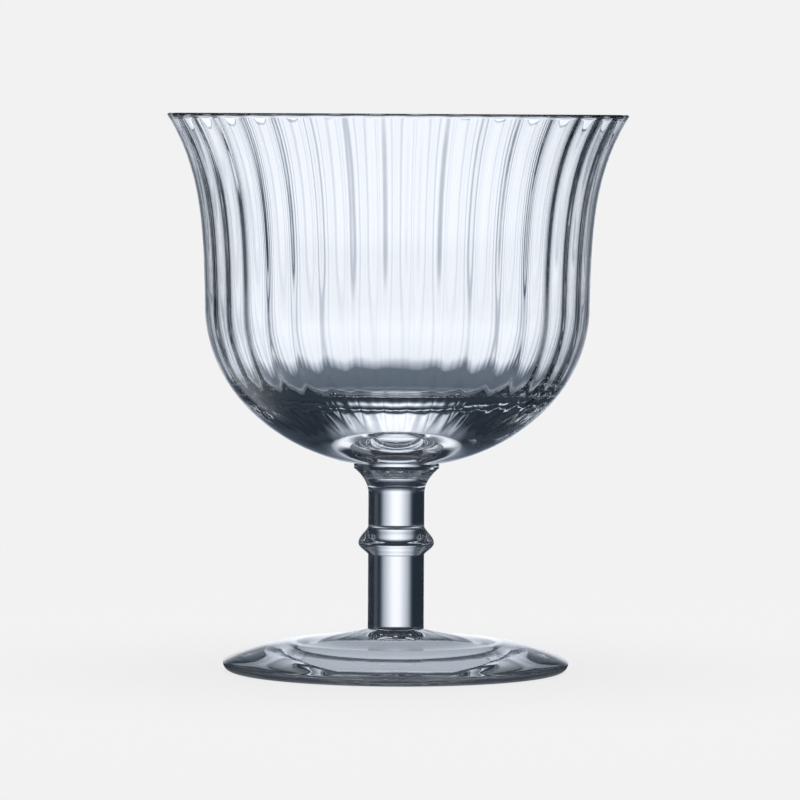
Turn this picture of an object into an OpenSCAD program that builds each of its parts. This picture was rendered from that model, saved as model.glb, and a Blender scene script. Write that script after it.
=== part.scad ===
// Stemmed cocktail glass in clear glass: a tulip bowl with a flared rim and a
// thick round base, a solid stem with a flared top and a bead round its middle,
// and a domed foot with a hollow underside.
// Millimetres, +Z up. The origin is the centre of the ring that the foot stands on.

/* [Bowl] */
// Height of the rim above the table
rim_z = 108.5; // [104:0.5:114]
// Outside radius of the flared rim
rim_r = 45; // [42:0.5:48]
// Thickness of the glass at the rim
rim_t = 2; // [1.4:0.1:2.6]
// Outside radius where the round base turns into the wall
body_r = 37.55; // [36:0.05:39]
// Height where the round base turns into the wall
shoulder_z = 71.2; // [69:0.1:74]
// Depth of the round base below that height, if it ran to a point
base_depth = 31.7; // [30:0.1:33]
// Radius of the flat seat under the base, where the stem is fused on
seat_r = 10.44; // [9.4:0.02:12]
// Thickness of the upright wall
wall_t = 2.4; // [1.6:0.1:3]
// How far the wall leans out by itself below the flare
lean = 0.9; // [0.4:0.1:1.6]
// How late and how sharply the rim flares
flare_power = 3.4; // [2.5:0.1:5]
// Height below which the wall thickens towards the base
thin_z = 70; // [66:0.5:80]
// Height where the inside turns from wall to floor
corner_z = 55.6; // [54.5:0.1:60]
// Thickness of the wall at that height
corner_t = 3.4; // [2.8:0.1:4.2]
// Height of the middle of the floor inside
floor_z = 48.1; // [46.5:0.1:49.5]
// How sharply the floor's curve turns in from the wall, in degrees
floor_bend = 32; // [0:1:42]
// How far the floor's curve keeps that direction
floor_pull = 7.3; // [4:0.1:9]
// How far the floor stays level round its middle
floor_spread = 16.8; // [8:0.1:18]

/* [Stem] */
// Radius of the straight stem
stem_r = 5.5; // [4.5:0.1:6.5]
// Radius of the stem's flared top under the bowl
capital_r = 8.35; // [7.5:0.05:9.2]
// Height over which the stem flares
capital_h = 6.3; // [4:0.1:9]
// How late the stem flares
capital_power = 2.2; // [1.6:0.1:3]
// Height of the upright lip on top of the flare
capital_lip = 1.2; // [0.4:0.1:2]

/* [Knop] */
// Height of the bead's widest line
knop_z = 24.9; // [20:0.1:28]
// Radius of the bead at its widest line
knop_r = 7.4; // [7:0.1:8.5]
// Reach of the bead above its widest line
knop_up = 3.2; // [2:0.1:4]
// Reach of the bead below its widest line
knop_down = 2.2; // [1.6:0.1:4]
// How sharply the bead stands out
knop_power = 1.3; // [1:0.1:2]

/* [Foot] */
// Radius of the foot
foot_r = 33.7; // [30:0.1:38]
// Radius of the foot's rounded edge
foot_edge = 1.6; // [0.8:0.1:2]
// Rise of the dome above the edge
dome_h = 6.3; // [5:0.1:8]
// How full the dome is
dome_power = 0.8; // [0.55:0.05:1.2]
// Radius of the step inside which the dome sweeps up to the stem
step_r = 21.5; // [18:0.5:24]
// Height of the foot where it meets the stem
hub_z = 8.25; // [7.6:0.05:9]
// How late the foot sweeps up to the stem
sweep_power = 1.7; // [1:0.1:2.2]
// Radius of the hollow under the foot
hollow_r = 20; // [16:0.5:23]
// Depth of the hollow under the foot
hollow_h = 4.4; // [1.6:0.1:5]

/* [Hidden] */
$fn = 96;
glass = [0.86, 0.90, 0.93, 0.55];
glass_deep = [0.72, 0.78, 0.84, 0.6];

// the seams where one gather of glass is fused to the next
bowl_seat_z = shoulder_z - base_depth * sqrt(1 - pow(seat_r / body_r, 2));
foot_seat_z = hub_z;

lip = rim_t * 0.2;
top_z = rim_z - lip;

// outside radius of the bowl's wall at height z, above the shoulder
function flare_t(z) = (z - shoulder_z) / (top_z - shoulder_z);
function wall_r(z) = body_r + lean * flare_t(z)
    + (rim_r - body_r - lean) * pow(flare_t(z), flare_power);
// outside radius of the round base at height z, below the shoulder
function base_r(z) = body_r * sqrt(1 - pow((shoulder_z - z) / base_depth, 2));
function outer_r(z) = z >= shoulder_z ? wall_r(z) : base_r(z);
// thickness of the wall at height z, thinning towards the rim, thickening towards the base
function thick(z) = z >= thin_z
    ? wall_t + (rim_t - wall_t) * (z - thin_z) / (rim_z - thin_z)
    : wall_t + (corner_t - wall_t) * pow((thin_z - z) / (thin_z - corner_z), 2);
function inner_r(z) = outer_r(z) - thick(z);

base_a0 = asin(seat_r / body_r);
wall_steps = 28;
base_steps = 26;
lip_steps = 5;
inner_steps = 34;
floor_steps = 22;

bowl_outer = concat(
    [[0, bowl_seat_z]],
    [for (i = [0 : base_steps])
        let (a = base_a0 + (90 - base_a0) * i / base_steps)
        [body_r * sin(a), shoulder_z - base_depth * cos(a)]],
    [for (i = [1 : wall_steps])
        let (z = shoulder_z + (top_z - shoulder_z) * i / wall_steps)
        [wall_r(z), z]]);
bowl_rim = concat(
    [for (i = [1 : lip_steps])
        let (a = 90 * i / lip_steps)
        [rim_r - lip * (1 - cos(a)), top_z + lip * sin(a)]],
    [for (i = [0 : lip_steps - 1])
        let (a = 90 - 90 * i / lip_steps)
        [inner_r(top_z) + lip * (1 - cos(a)), top_z + lip * sin(a)]]);

// the floor: a curve that leaves the wall at a bend and meets the axis level
wall_run = [inner_r(corner_z) - inner_r(corner_z + 0.5), -0.5];
floor_run = [wall_run[0] * cos(floor_bend) + wall_run[1] * sin(floor_bend),
    wall_run[1] * cos(floor_bend) - wall_run[0] * sin(floor_bend)];
corner = [inner_r(corner_z), corner_z];
pull_to = corner + floor_run * (floor_pull / norm(floor_run));
spread_to = [floor_spread, floor_z];
floor_mid = [0, floor_z];
function floor_at(t) = pow(1 - t, 3) * corner + 3 * t * pow(1 - t, 2) * pull_to
    + 3 * t * t * (1 - t) * spread_to + pow(t, 3) * floor_mid;
bowl_inner = concat(
    [for (i = [0 : inner_steps])
        let (z = top_z - (top_z - corner_z) * i / inner_steps)
        [inner_r(z), z]],
    [for (i = [1 : floor_steps]) floor_at(i / floor_steps)]);

// tulip bowl: round base, upright wall, flared rim, thick floor
module bowl() {
    color(glass)
        rotate_extrude() polygon(concat(bowl_outer, bowl_rim, bowl_inner));
}

capital_steps = 16;
capital_z0 = bowl_seat_z - capital_h;

// solid stem, straight to the foot, flared to a small lip under the bowl
module stem() {
    color(glass_deep)
        rotate_extrude() polygon(concat(
            [[0, foot_seat_z], [stem_r, foot_seat_z]],
            [for (i = [0 : capital_steps])
                let (t = i / capital_steps)
                [stem_r + (capital_r - stem_r) * pow(t, capital_power),
                 capital_z0 + (capital_h - capital_lip) * t]],
            [[capital_r, bowl_seat_z], [0, bowl_seat_z]]));
}

knop_steps = 10;
function knop_bulge(u) = stem_r + (knop_r - stem_r) * pow(max(0, cos(90 * u)), knop_power);

// bead of glass laid round the stem and fused to it
module knop_ring() {
    color(glass)
        rotate_extrude() polygon(concat(
            [for (i = [0 : knop_steps])
                let (u = 1 - i / knop_steps)
                [knop_bulge(u), knop_z - knop_down * u]],
            [for (i = [1 : knop_steps])
                let (u = i / knop_steps)
                [knop_bulge(u), knop_z + knop_up * u]]));
}

hollow_steps = 12;
edge_steps = 8;
dome_steps = 30;

// height of the foot's top at radius r
function dome_z(r) = foot_edge + dome_h * pow(1 - pow(r / foot_r, 2), dome_power);
function foot_z(r) = r >= step_r ? dome_z(r)
    : dome_z(step_r) + (hub_z - dome_z(step_r)) * pow((step_r - r) / (step_r - stem_r), sweep_power);

// domed foot on a flat ring, hollow under its middle, with a rounded edge
module foot() {
    color(glass)
        rotate_extrude() polygon(concat(
            [for (i = [0 : hollow_steps])
                let (t = i / hollow_steps)
                [hollow_r * t, hollow_h * (1 - t * t)]],
            [for (i = [0 : edge_steps])
                let (a = 90 * i / edge_steps)
                [foot_r - foot_edge + foot_edge * sin(a), foot_edge - foot_edge * cos(a)]],
            [for (i = [1 : dome_steps])
                let (r = stem_r + (foot_r - stem_r) * cos(90 * i / dome_steps))
                [r, foot_z(r)]],
            [[0, foot_seat_z]]));
}

bowl();
stem();
knop_ring();
foot();
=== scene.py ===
import math

import bpy
import numpy as np
from mathutils import Matrix, Vector


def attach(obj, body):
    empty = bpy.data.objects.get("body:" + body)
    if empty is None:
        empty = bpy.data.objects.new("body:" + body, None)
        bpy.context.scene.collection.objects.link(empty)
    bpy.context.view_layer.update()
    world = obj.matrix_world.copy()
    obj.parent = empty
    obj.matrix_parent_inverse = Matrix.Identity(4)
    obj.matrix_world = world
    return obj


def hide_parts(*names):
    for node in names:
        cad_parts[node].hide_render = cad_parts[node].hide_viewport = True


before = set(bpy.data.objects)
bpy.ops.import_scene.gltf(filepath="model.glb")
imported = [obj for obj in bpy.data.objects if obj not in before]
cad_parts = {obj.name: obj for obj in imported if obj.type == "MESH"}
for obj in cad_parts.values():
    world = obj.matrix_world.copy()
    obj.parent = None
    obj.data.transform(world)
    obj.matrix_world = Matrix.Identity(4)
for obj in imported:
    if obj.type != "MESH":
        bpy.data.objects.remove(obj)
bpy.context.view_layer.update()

MM = 0.001

# ---------------------------------------------------------------- the glass's own sizes, in millimetres
RIM_Z, RIM_R, RIM_T = 108.5, 45.0, 2.0
BODY_R, SHOULDER_Z, BASE_DEPTH = 37.55, 71.2, 31.7
WALL_T, LEAN, FLARE = 2.4, 0.9, 3.4
CORNER_Z, CORNER_T, THIN_Z = 55.6, 3.4, 70.0
FLOOR_Z, PULL, SPREAD, BEND = 48.1, 7.3, 16.8, 32.0
SEAT_R = 10.44
LIP = RIM_T * 0.2
FADE = 0.6
STEM_R, CAP_R, CAP_H, CAP_P, CAP_LIP = 5.5, 8.35, 6.3, 2.2, 1.2
KNOP_Z, KNOP_R, KNOP_UP, KNOP_DOWN, KNOP_P = 24.9, 7.4, 3.2, 2.2, 1.3
FOOT_R, FOOT_EDGE, DOME_H, DOME_P = 33.7, 1.6, 6.3, 0.8
HOLLOW_R, HOLLOW_H = 20.0, 4.4
HUB_Z, STEP_R, SWEEP_P = 8.25, 21.5, 1.7

# flutes: 37 thick petals with thin valleys between them, waves on both skins of the wall. By height, how strong they are; then
# the inner skin's wave, its second harmonic, the flat along the valley's bottom (depth, half width, softness), the outer wave
FLUTES = 37
TURN = -0.4
WAVE_Z = (55.0, 58.0, 62.0, 66.0, 72.0, 80.0, 92.0, 103.5, 108.5)
WAVE_A = (0.9, 0.9, 0.85, 0.8, 0.9, 1.35, 1.35, 1.5, 1.5)
WAVE_IN, WAVE_IN2, WAVE_OUT = 0.088, -0.023, 0.046
FLAT_D, FLAT_W, FLAT_S = 0.041, 0.87, 0.26

BOWL_SEAT = SHOULDER_Z - BASE_DEPTH * math.sqrt(1 - (SEAT_R / BODY_R) ** 2)
FOOT_SEAT = HUB_Z
STEP_Z = FOOT_EDGE + DOME_H * (1 - (STEP_R / FOOT_R) ** 2) ** DOME_P


def wall_r(z):
    t = (z - SHOULDER_Z) / (RIM_Z - LIP - SHOULDER_Z)
    return BODY_R + LEAN * t + (RIM_R - BODY_R - LEAN) * max(t, 0.0) ** FLARE


def outer_r(z):
    if z >= SHOULDER_Z:
        return wall_r(z)
    return BODY_R * math.sqrt(max(0.0, 1 - ((SHOULDER_Z - z) / BASE_DEPTH) ** 2))


def thick(z):
    if z >= THIN_Z:
        return WALL_T + (RIM_T - WALL_T) * (z - THIN_Z) / (RIM_Z - THIN_Z)
    return WALL_T + (CORNER_T - WALL_T) * ((THIN_Z - z) / (THIN_Z - CORNER_Z)) ** 2


def inner_r(z):
    return outer_r(z) - thick(z)


# ---------------------------------------------------------------- meshes of revolution
def ring(r, theta, z):
    r = np.broadcast_to(r, theta.shape)
    return np.column_stack((r * np.cos(theta), r * np.sin(theta), np.full(theta.shape, z)))


def revolved(name, rows, theta, seam_rows=(), shape=None):
    """A closed mesh from rows of (r, z), the first and last on the axis. theta holds the columns' angles, or shape(i) gives
    row i's own radii and angles. seam_rows are the bands, by the index of their first row, that are fused to a neighbour."""
    seg = len(theta)
    parts = [np.array([[0.0, 0.0, rows[0][1]]])]
    for i in range(1, len(rows) - 1):
        r, z = rows[i]
        rr, th = shape(i) if shape else (r, theta)
        parts.append(ring(rr, th, z))
    parts.append(np.array([[0.0, 0.0, rows[-1][1]]]))
    verts = np.vstack(parts)
    j = np.arange(seg)
    k = (j + 1) % seg
    last = len(verts) - 1
    n = len(rows)
    faces, seam = [], []

    def put(block, band):
        faces.extend(map(tuple, block.tolist()))
        seam.extend([1 if band in seam_rows else 0] * len(block))

    put(np.column_stack((np.zeros(seg, int), 1 + k, 1 + j)), 0)
    for i in range(1, n - 2):
        a, b = 1 + (i - 1) * seg, 1 + i * seg
        put(np.column_stack((a + j, a + k, b + k, b + j)), i)
    a = 1 + (n - 3) * seg
    put(np.column_stack((np.full(seg, last), a + j, a + k)), n - 2)
    return finish_mesh(name, verts * MM, faces, seam)


def finish_mesh(name, verts, faces, seam, sharp=38):
    me = bpy.data.meshes.new(name)
    me.from_pydata(verts.tolist(), [], faces)
    me.materials.append(GLASS[name])
    me.materials.append(SEAM)
    me.polygons.foreach_set("material_index", np.array(seam, np.int32))
    me.polygons.foreach_set("use_smooth", np.ones(len(faces), bool))
    me.set_sharp_from_angle(angle=math.radians(sharp))
    me.update()
    o = bpy.data.objects.new(name, me)
    bpy.context.scene.collection.objects.link(o)
    return o


# ---------------------------------------------------------------- materials
def glass(name, tint, rough, ripple, scale):
    """Clear glass: hardly any tint, a fire-polished skin with a slow ripple and faint roughness clouds."""
    m = bpy.data.materials.new(name)
    m.use_nodes = True
    nt = m.node_tree
    b = nt.nodes["Principled BSDF"]
    b.inputs["Base Color"].default_value = (*tint, 1)
    b.inputs["Transmission Weight"].default_value = 1.0
    b.inputs["IOR"].default_value = 1.5
    b.inputs["Metallic"].default_value = 0.0
    tc = nt.nodes.new("ShaderNodeTexCoord")
    no = nt.nodes.new("ShaderNodeTexNoise")
    no.inputs["Scale"].default_value = scale
    no.inputs["Detail"].default_value = 2.0
    nt.links.new(tc.outputs["Object"], no.inputs["Vector"])
    mr = nt.nodes.new("ShaderNodeMapRange")
    mr.inputs["From Min"].default_value = 0.35
    mr.inputs["From Max"].default_value = 0.75
    mr.inputs["To Min"].default_value = rough[0]
    mr.inputs["To Max"].default_value = rough[1]
    nt.links.new(no.outputs["Fac"], mr.inputs["Value"])
    nt.links.new(mr.outputs["Result"], b.inputs["Roughness"])
    bump = nt.nodes.new("ShaderNodeBump")
    bump.inputs["Strength"].default_value = 1.0
    bump.inputs["Distance"].default_value = ripple
    nt.links.new(no.outputs["Fac"], bump.inputs["Height"])
    nt.links.new(bump.outputs["Normal"], b.inputs["Normal"])
    return m


def seam_material():
    m = bpy.data.materials.new("fused_seam")
    m.use_nodes = True
    nt = m.node_tree
    nt.nodes.remove(nt.nodes["Principled BSDF"])
    t = nt.nodes.new("ShaderNodeBsdfTransparent")
    nt.links.new(t.outputs["BSDF"], nt.nodes["Material Output"].inputs["Surface"])
    return m


TINT = (0.965, 0.975, 0.99)
SEAM = seam_material()
GLASS = {
    "bowl_glass": glass("bowl_clear_glass", TINT, (0.0, 0.008), 0.00003, 110),
    "stem_glass": glass("stem_clear_glass", TINT, (0.0, 0.008), 0.00002, 160),
    "knop_glass": glass("knop_clear_glass", TINT, (0.0, 0.008), 0.00002, 160),
    "foot_glass": glass("foot_clear_glass", TINT, (0.0, 0.008), 0.00003, 110),
}

# ---------------------------------------------------------------- bowl
OUTER, INNER = 1, 2


def bowl_rows():
    rows = [(r, BOWL_SEAT, 0, 0.0) for r in (0.0, 2.5, 5.0, 7.0, CAP_R, SEAT_R)]
    a0 = math.asin(SEAT_R / BODY_R)
    for i in range(1, 34):
        a = a0 + (math.pi / 2 - a0) * i / 33
        z = SHOULDER_Z - BASE_DEPTH * math.cos(a)
        rows.append((BODY_R * math.sin(a), z, OUTER, min(1.0, max(0.0, (z - 58.0) / 12.0))))
    top = RIM_Z - LIP
    for i in range(1, 16):
        z = SHOULDER_Z + (top - 0.2 - SHOULDER_Z) * i / 15
        rows.append((wall_r(z), z, OUTER, 1.0))
    rows.append((wall_r(top), top, OUTER, 1.0))
    ro, ri = wall_r(top), inner_r(top)
    for i in range(1, 6):
        a = math.pi / 2 * i / 5
        rows.append((ro - LIP * (1 - math.cos(a)), top + LIP * math.sin(a), OUTER, 1.0))
    for i in range(0, 6):
        a = math.pi / 2 * (1 - i / 5)
        rows.append((ri + LIP * (1 - math.cos(a)), top + LIP * math.sin(a), INNER, 1.0))
    for i in range(0, 19):
        z = top - 0.2 - (top - 0.2 - CORNER_Z) * i / 18
        rows.append((inner_r(z), z, INNER, 1.0))
    # the floor: a curve that leaves the wall at a bend and meets the axis level
    p0, p3 = (inner_r(CORNER_Z), CORNER_Z), (0.0, FLOOR_Z)
    slope = Vector((inner_r(CORNER_Z) - inner_r(CORNER_Z + 0.5), -0.5)).normalized()
    slope.rotate(Matrix.Rotation(math.radians(-BEND), 2))
    p1, p2 = (p0[0] + PULL * slope.x, p0[1] + PULL * slope.y), (SPREAD, FLOOR_Z)
    for i in range(1, 27):
        t = i / 26
        c = ((1 - t) ** 3, 3 * t * (1 - t) ** 2, 3 * t * t * (1 - t), t ** 3)
        r, z = (sum(c[n] * p[k] for n, p in enumerate((p0, p1, p2, p3))) for k in (0, 1))
        rows.append((r, z, INNER, max(0.0, 1 - (t / FADE) ** 2)))
    return rows


ROWS = bowl_rows()
WOBBLE = np.random.default_rng(11)
RIB_AT = np.radians(np.arange(FLUTES) * 360 / FLUTES + TURN - 90 + WOBBLE.uniform(-0.3, 0.3, FLUTES))
RIB_GAIN = WOBBLE.uniform(0.88, 1.12, FLUTES)
COLS = 24


def bowl_shape(i):
    """Radii and angles of row i: the flutes' waves on the inner and the outer skin, the ribs slightly uneven."""
    r, z, kind, fade = ROWS[i]
    x = np.arange(COLS) / COLS
    half = math.pi * max(r, 1.0) / FLUTES
    gap = (np.roll(RIB_AT, -1) - RIB_AT) % (2 * math.pi)
    theta = RIB_AT[:, None] + gap[:, None] * x[None, :]
    d = (np.minimum(x, 1 - x) * 2 * half)[None, :]
    gain = np.where(x[None, :] <= 0.5, RIB_GAIN[:, None], np.roll(RIB_GAIN, -1)[:, None])
    u = math.pi * d / half
    if kind == INNER:
        relief = WAVE_IN * np.cos(u) + WAVE_IN2 * np.cos(2 * u) + FLAT_D * gain / (1 + np.exp((d - FLAT_W) / FLAT_S))
    elif kind == OUTER:
        relief = -WAVE_OUT * (1 + np.cos(u)) * np.ones_like(gain)
    else:
        relief = np.zeros_like(gain)
    return (r + relief * fade * float(np.interp(z, WAVE_Z, WAVE_A))).ravel(), theta.ravel()


def build():
    n_cols = FLUTES * COLS
    bowl = revolved("bowl_glass", [q[:2] for q in ROWS], np.zeros(n_cols), seam_rows=(0, 1, 2, 3), shape=bowl_shape)

    seg = 256
    theta = np.arange(seg) * 2 * math.pi / seg

    # stem, from the foot up to the bowl; the band under the bead and both ends are fused
    rows = [(0.0, FOOT_SEAT), (2.0, FOOT_SEAT), (4.0, FOOT_SEAT), (STEM_R, FOOT_SEAT)]
    z0, z1 = KNOP_Z - KNOP_DOWN, KNOP_Z + KNOP_UP
    cap0 = BOWL_SEAT - CAP_H
    for i in range(1, 13):
        rows.append((STEM_R, FOOT_SEAT + (z0 - FOOT_SEAT) * i / 12))
    knop_band = len(rows) - 1
    rows.append((STEM_R, z1))
    for i in range(1, 5):
        rows.append((STEM_R, z1 + (cap0 - z1) * i / 4))
    for i in range(1, 33):
        t = i / 32
        rows.append((STEM_R + (CAP_R - STEM_R) * t ** CAP_P, cap0 + (CAP_H - CAP_LIP) * t))
    rows.append((CAP_R, BOWL_SEAT))
    top = len(rows) - 1
    for r in (7.0, 5.0, 2.5, 0.0):
        rows.append((r, BOWL_SEAT))
    n = len(rows)
    stem = revolved("stem_glass", rows, theta, seam_rows=(0, 1, 2, knop_band, *range(top, n - 1)))

    # bead round the stem: a torus-like closed band, its bore fused to the stem
    prof = []
    for i in range(25):
        u = 1 - i / 24
        prof.append((STEM_R + (KNOP_R - STEM_R) * max(0.0, math.cos(math.pi / 2 * u)) ** KNOP_P, KNOP_Z - KNOP_DOWN * u))
    for i in range(1, 25):
        u = i / 24
        prof.append((STEM_R + (KNOP_R - STEM_R) * max(0.0, math.cos(math.pi / 2 * u)) ** KNOP_P, KNOP_Z + KNOP_UP * u))
    verts = np.vstack([ring(r, theta, z) for r, z in prof])
    faces, seam = [], []
    m = len(prof)
    j = np.arange(seg)
    k = (j + 1) % seg
    for i in range(m):
        a, b = i * seg, ((i + 1) % m) * seg
        faces.extend(map(tuple, np.column_stack((a + j, a + k, b + k, b + j)).tolist()))
        seam.extend([1 if i == m - 1 else 0] * seg)
    knop = finish_mesh("knop_glass", verts * MM, faces, seam)

    # foot: hollow underside, standing ring, rounded edge, dome, seam disc under the stem
    rows = []
    for i in range(0, 25):
        t = i / 24
        rows.append((HOLLOW_R * t, HOLLOW_H * (1 - t * t)))
    for i in range(0, 17):
        a = math.pi / 2 * i / 16
        rows.append((FOOT_R - FOOT_EDGE + FOOT_EDGE * math.sin(a), FOOT_EDGE * (1 - math.cos(a))))
    for i in range(1, 61):
        a = math.pi / 2 * i / 60
        r = STEM_R + (FOOT_R - STEM_R) * math.cos(a)
        z = FOOT_EDGE + DOME_H * max(0.0, 1 - (max(r, STEP_R) / FOOT_R) ** 2) ** DOME_P
        # inside the step the dome sweeps up to the stem
        z += (FOOT_SEAT - STEP_Z) * (max(0.0, STEP_R - r) / (STEP_R - STEM_R)) ** SWEEP_P
        rows.append((r, z))
    top = len(rows) - 1
    for r in (4.0, 2.0, 0.0):
        rows.append((r, FOOT_SEAT))
    foot = revolved("foot_glass", rows, theta, seam_rows=tuple(range(top, len(rows) - 1)))

    for o, node, slot in ((bowl, "bowl", "bowl_glass"), (stem, "stem", "stem_glass"),
                          (knop, "knop_ring", "stem_glass"), (foot, "foot", "foot_glass")):
        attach(o, "root")
        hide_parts(node)


build()

# ---------------------------------------------------------------- studio
scene = bpy.context.scene
scene.view_settings.view_transform = "Standard"
scene.view_settings.look = "None"
scene.view_settings.exposure = 0.0
scene.view_settings.gamma = 1.0
cy = scene.cycles
cy.max_bounces = 32
cy.transmission_bounces = 32
cy.glossy_bounces = 24
cy.diffuse_bounces = 3
cy.transparent_max_bounces = 48
cy.caustics_reflective = False
cy.caustics_refractive = False
cy.blur_glossy = 0.0

PALE = 0.887
POWER = 1.17


def ramp(nt, value, stops, interpolation="LINEAR"):
    n = nt.nodes.new("ShaderNodeValToRGB")
    n.color_ramp.interpolation = interpolation
    e = n.color_ramp.elements
    e[0].position, e[1].position = stops[0][0], stops[-1][0]
    stops = [(p, v if isinstance(v, tuple) else (v, v, v)) for p, v in stops]
    e[0].color = (*stops[0][1], 1)
    e[1].color = (*stops[-1][1], 1)
    for p, v in stops[1:-1]:
        x = e.new(p)
        x.color = (*v, 1)
    nt.links.new(value, n.inputs[0])
    return n.outputs[0]


def math_node(nt, op, a=None, b=None, clamp=False):
    n = nt.nodes.new("ShaderNodeMath")
    n.operation = op
    n.use_clamp = clamp
    for i, v in enumerate((a, b)):
        if v is None:
            continue
        if isinstance(v, (int, float)):
            n.inputs[i].default_value = v
        else:
            nt.links.new(v, n.inputs[i])
    return n.outputs[0]


def studio_world():
    """Bright panels behind and beside the glass, black flags between them and overhead: a bright field."""
    w = bpy.data.worlds.new("studio")
    scene.world = w
    w.use_nodes = True
    nt = w.node_tree
    bg = nt.nodes["Background"]
    tc = nt.nodes.new("ShaderNodeTexCoord")
    sp = nt.nodes.new("ShaderNodeSeparateXYZ")
    nt.links.new(tc.outputs["Generated"], sp.inputs[0])
    x, y, z = sp.outputs
    ax, ay = math_node(nt, "ABSOLUTE", x), math_node(nt, "ABSOLUTE", y)
    # angle from the nearest of the four panels, 0 to 45 degrees as 0 to 1
    az = math_node(nt, "ARCTAN2", math_node(nt, "MINIMUM", ax, ay), math_node(nt, "MAXIMUM", ax, ay))
    az = math_node(nt, "DIVIDE", az, math.pi / 4)
    # height, straight down to straight up as 0 to 1
    el = math_node(nt, "ADD", math_node(nt, "DIVIDE", math_node(nt, "ARCSINE", z), math.pi), 0.5)
    # signed angle from straight behind the glass, -180 to 180 degrees as 0 to 1
    turn = math_node(nt, "ADD", math_node(nt, "DIVIDE", math_node(nt, "ARCTAN2", x, y), 2 * math.pi), 0.5)

    def e(deg):
        return deg / 180 + 0.5

    def a(deg):
        return deg / 360 + 0.5

    side = ramp(nt, az, [(0, 1), (5 / 45, .94), (8 / 45, .82), (11 / 45, .68), (14 / 45, .56), (17 / 45, .43), (20 / 45, .25), (23 / 45, .08), (26 / 45, .02), (30 / 45, 0), (1, 0)])
    up = ramp(nt, el, [(0, .1), (e(-20), .155), (e(-16), .22), (e(-11), .6), (e(-8), .88), (e(-4), 1), (e(3), 1), (e(6), .8), (e(9), .5), (e(12), .33), (e(16), .13), (e(20), .05), (e(25), 0.0), (1, 0)])
    # the panels stand behind the glass and, lower, at its left
    left = ramp(nt, turn, [(0, 0), (a(-106), 0), (a(-100), .8), (a(-80), .8), (a(-74), 0), (1, 0)])
    left = math_node(nt, "MULTIPLY", left, ramp(nt, el, [(0, 1), (e(0), 1), (e(4), 0), (1, 0)]))
    faced = math_node(nt, "MAXIMUM", left, ramp(nt, turn, [(0, 0), (a(-46), 0), (a(-44), 1), (a(46), 1), (a(48), 0), (1, 0)]))
    panel = math_node(nt, "MULTIPLY", math_node(nt, "MULTIPLY", side, up), faced)
    grey = ramp(nt, el, [(0, 0), (e(-20), .03), (e(-9), .03), (e(-5), .01), (e(4), .01), (e(8), .02), (e(20), .02), (1, .01)])
    low_wide = ramp(nt, el, [(0, .6), (e(-40), .6), (e(-30), .72), (e(-12), .72), (e(-8), 0), (1, 0)])
    low_back = ramp(nt, el, [(0, .6), (e(-40), .6), (e(-30), .72), (e(-19), .72), (e(-15), 0), (1, 0)])
    low_deep = ramp(nt, el, [(0, .5), (e(-48), .5), (e(-34), 0), (1, 0)])
    # where each of the three holds, going round from straight behind
    wide_at = ramp(nt, turn, [(0, 1), (a(-100), 1), (a(-92), 0), (a(92), 0), (a(100), 1), (1, 1)])
    back_at = ramp(nt, turn, [(0, 0), (a(-100), 0), (a(-92), 1), (a(-32), 1), (a(-26), 0), (1, 0)])
    deep_at = ramp(nt, turn, [(0, 0), (a(-32), 0), (a(-26), 1), (a(92), 1), (a(100), 0), (1, 0)])
    low = math_node(nt, "MULTIPLY", low_wide, wide_at)
    low = math_node(nt, "MAXIMUM", low, math_node(nt, "MULTIPLY", low_back, back_at))
    low = math_node(nt, "MAXIMUM", low, math_node(nt, "MULTIPLY", low_deep, deep_at))
    lum = math_node(nt, "MAXIMUM", math_node(nt, "MAXIMUM", panel, grey), low)
    # the darker, the bluer
    hue = ramp(nt, lum, [(0, (.009, .013, .020)), (.13, (.098, .126, .160)), (.45, (.395, .430, .485)), (.75, (.685, .718, .775)), (1, (.94, .96, 1))])
    lp = nt.nodes.new("ShaderNodeLightPath")
    cam = nt.nodes.new("ShaderNodeMix")
    cam.data_type = "RGBA"
    cam.inputs["B"].default_value = (PALE / POWER, PALE / POWER, PALE / POWER, 1)
    nt.links.new(lp.outputs["Is Camera Ray"], cam.inputs["Factor"])
    nt.links.new(hue, cam.inputs["A"])
    nt.links.new(cam.outputs["Result"], bg.inputs["Color"])
    bg.inputs["Strength"].default_value = POWER


studio_world()


def floor_material():
    """Pale paper lit from all round, so the glass throws only a faint shadow, that fades into the pale background."""
    m = bpy.data.materials.new("pale_floor")
    m.use_nodes = True
    nt = m.node_tree
    nt.nodes.remove(nt.nodes["Principled BSDF"])
    out = nt.nodes["Material Output"]
    d = nt.nodes.new("ShaderNodeBsdfDiffuse")
    d.inputs["Color"].default_value = (0.1, 0.1, 0.1, 1)
    g = nt.nodes.new("ShaderNodeEmission")
    g.inputs["Color"].default_value = (1, 1, 1, 1)
    g.inputs["Strength"].default_value = 0.784
    add = nt.nodes.new("ShaderNodeAddShader")
    nt.links.new(d.outputs[0], add.inputs[0])
    nt.links.new(g.outputs[0], add.inputs[1])
    t = nt.nodes.new("ShaderNodeBsdfTransparent")
    tc = nt.nodes.new("ShaderNodeTexCoord")
    ln = nt.nodes.new("ShaderNodeVectorMath")
    ln.operation = "LENGTH"
    nt.links.new(tc.outputs["Object"], ln.inputs[0])
    mr = nt.nodes.new("ShaderNodeMapRange")
    mr.interpolation_type = "SMOOTHSTEP"
    mr.inputs["From Min"].default_value = 0.10
    mr.inputs["From Max"].default_value = 0.45
    nt.links.new(ln.outputs["Value"], mr.inputs["Value"])
    mx = nt.nodes.new("ShaderNodeMixShader")
    nt.links.new(mr.outputs["Result"], mx.inputs[0])
    nt.links.new(add.outputs[0], mx.inputs[1])
    nt.links.new(t.outputs[0], mx.inputs[2])
    nt.links.new(mx.outputs[0], out.inputs["Surface"])
    return m


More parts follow.
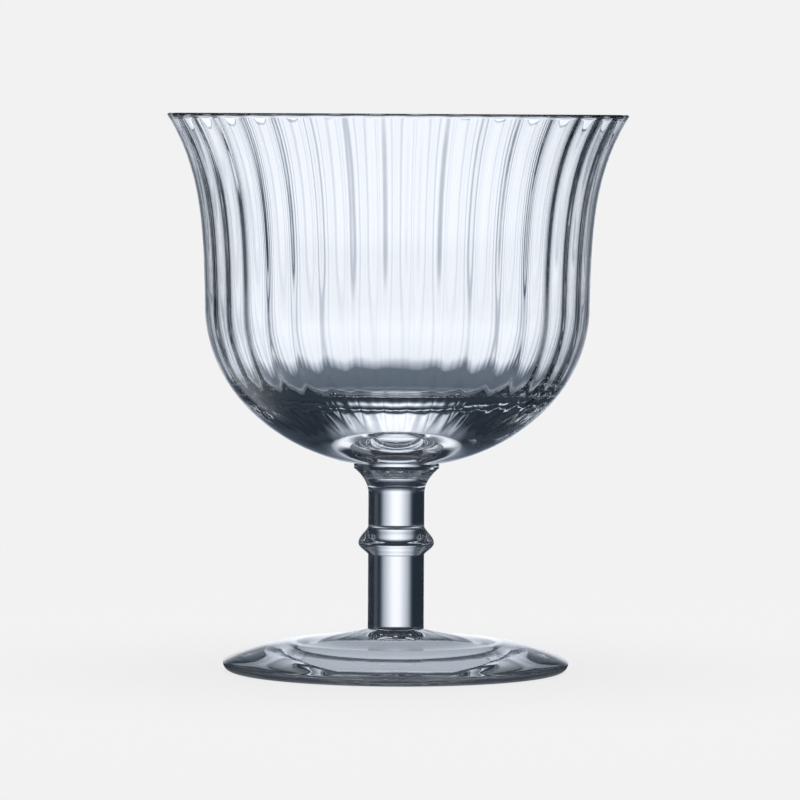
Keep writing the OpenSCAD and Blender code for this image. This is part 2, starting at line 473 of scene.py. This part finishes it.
def disc(name, r1, z, seg=128):
    v = [(r1 * math.cos(2 * math.pi * i / seg), r1 * math.sin(2 * math.pi * i / seg), z) for i in range(seg)]
    me = bpy.data.meshes.new(name)
    me.from_pydata(v, [], [tuple(range(seg))])
    o = bpy.data.objects.new(name, me)
    scene.collection.objects.link(o)
    return o


floor = disc("floor", 0.6, -0.00005)
floor.data.materials.append(floor_material())
floor.visible_transmission = False
floor.visible_glossy = False



def painted_light_floor_material():
    """Paper close to the foot as the glass sees it: a glowing disc of painted light, dimmer towards the middle, a
    painted bright ring round the hollow, painted shade from just inside the foot's edge outwards.
    """
    m = bpy.data.materials.new("painted_light_floor")
    m.use_nodes = True
    nt = m.node_tree
    nt.nodes.remove(nt.nodes["Principled BSDF"])
    out = nt.nodes["Material Output"]
    g = nt.nodes.new("ShaderNodeEmission")
    tc = nt.nodes.new("ShaderNodeTexCoord")
    ln = nt.nodes.new("ShaderNodeVectorMath")
    ln.operation = "LENGTH"
    nt.links.new(tc.outputs["Object"], ln.inputs[0])
    far = math_node(nt, "DIVIDE", ln.outputs["Value"], 0.2)
    # painted light and shade by distance from the axis: dimmer under the middle, a bright ring at 21 to 23 mm, dark
    # from 31 mm outwards
    nt.links.new(ramp(nt, far, [(0, .54), (.08, .63), (.1, .77), (.107, 1.25), (.115, 1.25), (.125, 1), (.142, .95), (.155, .45), (.165, .18), (.175, .06), (.2, .03), (1, .1)]), g.inputs["Strength"])
    g.inputs["Color"].default_value = (0.88, 0.95, 1.06, 1)
    t = nt.nodes.new("ShaderNodeBsdfTransparent")
    mx = nt.nodes.new("ShaderNodeMixShader")
    nt.links.new(ramp(nt, far, [(0, 0), (.3, 0), (.5, 1), (1, 1)]), mx.inputs[0])
    nt.links.new(g.outputs[0], mx.inputs[1])
    nt.links.new(t.outputs[0], mx.inputs[2])
    nt.links.new(mx.outputs[0], out.inputs["Surface"])
    return m


# a disc that only the glass sees, glowing with painted light and shade instead of being lit by the lamps
painted_light_disc = disc("painted_light_floor", 0.2, -0.00008)
painted_light_disc.data.materials.append(painted_light_floor_material())
painted_light_disc.visible_camera = False
painted_light_disc.visible_diffuse = False
painted_light_disc.visible_shadow = False

lamp_data = bpy.data.lights.new("overhead", "AREA")
lamp_data.shape = "DISK"
lamp_data.size = 1.6
lamp_data.energy = 30.0
lamp = bpy.data.objects.new("overhead", lamp_data)
lamp.location = (0, 0, 1.5)
scene.collection.objects.link(lamp)
lamp.visible_camera = False
lamp.visible_glossy = False
lamp.visible_transmission = False

# ---------------------------------------------------------------- camera, at the height of the rim
cam_data = bpy.data.cameras.new("camera")
cam = bpy.data.objects.new("camera", cam_data)
scene.collection.objects.link(cam)
DIST, PX_MM = 1.1, 5.14
cam_data.sensor_width = 36.0
cam_data.lens = 18.0 / ((400 / PX_MM * MM) / DIST)
cam.location = (0.0006, -DIST, 0.1085)
aim = Vector((0.0006, 0, 0.0528))
look = (aim - cam.location).to_track_quat("-Z", "Y").to_matrix()
roll = Matrix.Rotation(math.radians(0.3), 3, "Z")
cam.matrix_world = Matrix.Translation(cam.location) @ (look @ roll).to_4x4()
cam_data.clip_start, cam_data.clip_end = 0.01, 50
scene.camera = cam
